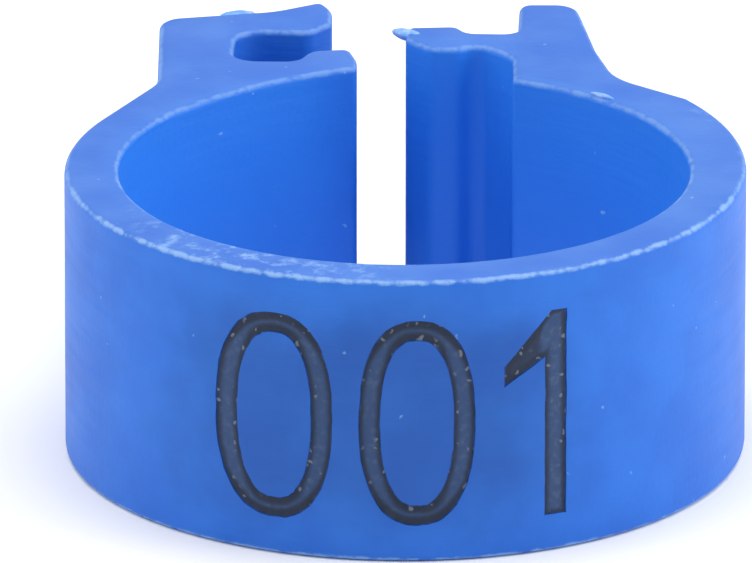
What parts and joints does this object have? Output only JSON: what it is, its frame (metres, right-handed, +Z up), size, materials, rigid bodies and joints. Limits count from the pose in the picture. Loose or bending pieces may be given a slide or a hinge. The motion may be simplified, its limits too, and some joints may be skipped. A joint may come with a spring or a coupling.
{
  "type": "leg band",
  "caption": "Clip-on leg band for pigeons and poultry: a springy C-shaped plastic ring with a serial number, closed by a beaded tongue that snaps into a keyhole socket.",
  "frame": {"origin": "centre of the leg bore, at the bottom rim", "axes": "+Z up the leg along the bore, the number faces -Y, the clasp is at +Y with its socket at -X and its tongue at +X"},
  "size_m": [0.0106, 0.0133, 0.0046],
  "materials": {
    "moulded_plastic": "semi-matte injection-moulded polypropylene, blue, slightly translucent at thin edges",
    "laser_mark": "laser-scorched, rough, dark grey-blue"
  },
  "bodies": {
    "number_front": {"number_panel": "moulded_plastic", "zero_left": "laser_mark", "zero_middle": "laser_mark", "one_right": "laser_mark"},
    "flank_l": {"flank_left": "moulded_plastic"},
    "flank_r": {"flank_right": "moulded_plastic"},
    "socket_end": {"clasp_arm_left": "moulded_plastic", "grip_lug_left": "moulded_plastic"},
    "tongue_end": {"clasp_arm_right": "moulded_plastic", "grip_lug_right": "moulded_plastic", "tongue_neck": "moulded_plastic", "tongue_bead": "moulded_plastic"},
    "lip": {"inner_lip": "moulded_plastic"},
    "jaw": {"outer_jaw": "moulded_plastic"}
  },
  "joints": [
    {"name": "band_flex", "type": "hinge", "parent": "number_front", "child": "flank_r", "pos_m": [0.00373, -0.00313, 0.0023], "axis": [0, 0, 1], "range_deg": [-12, 5], "stiffness_Nm_per_rad": 0.00002},
    {"name": "tongue_arm_flex", "type": "hinge", "parent": "flank_r", "child": "tongue_end", "pos_m": [0.0048, 0.00085, 0.0023], "axis": [0, 0, 1], "range_deg": [-12, 5], "stiffness_Nm_per_rad": 0.00002},
    {"name": "left_flex", "type": "hinge", "parent": "number_front", "child": "flank_l", "pos_m": [-0.00373, -0.00313, 0.0023], "axis": [0, 0, -1], "range_deg": [-12, 5], "stiffness_Nm_per_rad": 0.00002},
    {"name": "socket_arm_flex", "type": "hinge", "parent": "flank_l", "child": "socket_end", "pos_m": [-0.0048, 0.00085, 0.0023], "axis": [0, 0, -1], "range_deg": [-12, 5], "stiffness_Nm_per_rad": 0.00002},
    {"name": "lip_flex", "type": "hinge", "parent": "socket_end", "child": "lip", "pos_m": [-0.00209, 0.00393, 0.0023], "axis": [0, 0, -1], "range_deg": [0, 8], "stiffness_Nm_per_rad": 0.00001},
    {"name": "jaw_flex", "type": "hinge", "parent": "socket_end", "child": "jaw", "pos_m": [-0.0027, 0.0075, 0.0023], "axis": [0, 0, 1], "range_deg": [0, 4], "stiffness_Nm_per_rad": 0.00001}
  ],
  "couplings": [
    {"joint": "tongue_arm_flex", "follows": "band_flex", "ratio": 1},
    {"joint": "left_flex", "follows": "band_flex", "ratio": 1},
    {"joint": "socket_arm_flex", "follows": "band_flex", "ratio": 1}
  ]
}
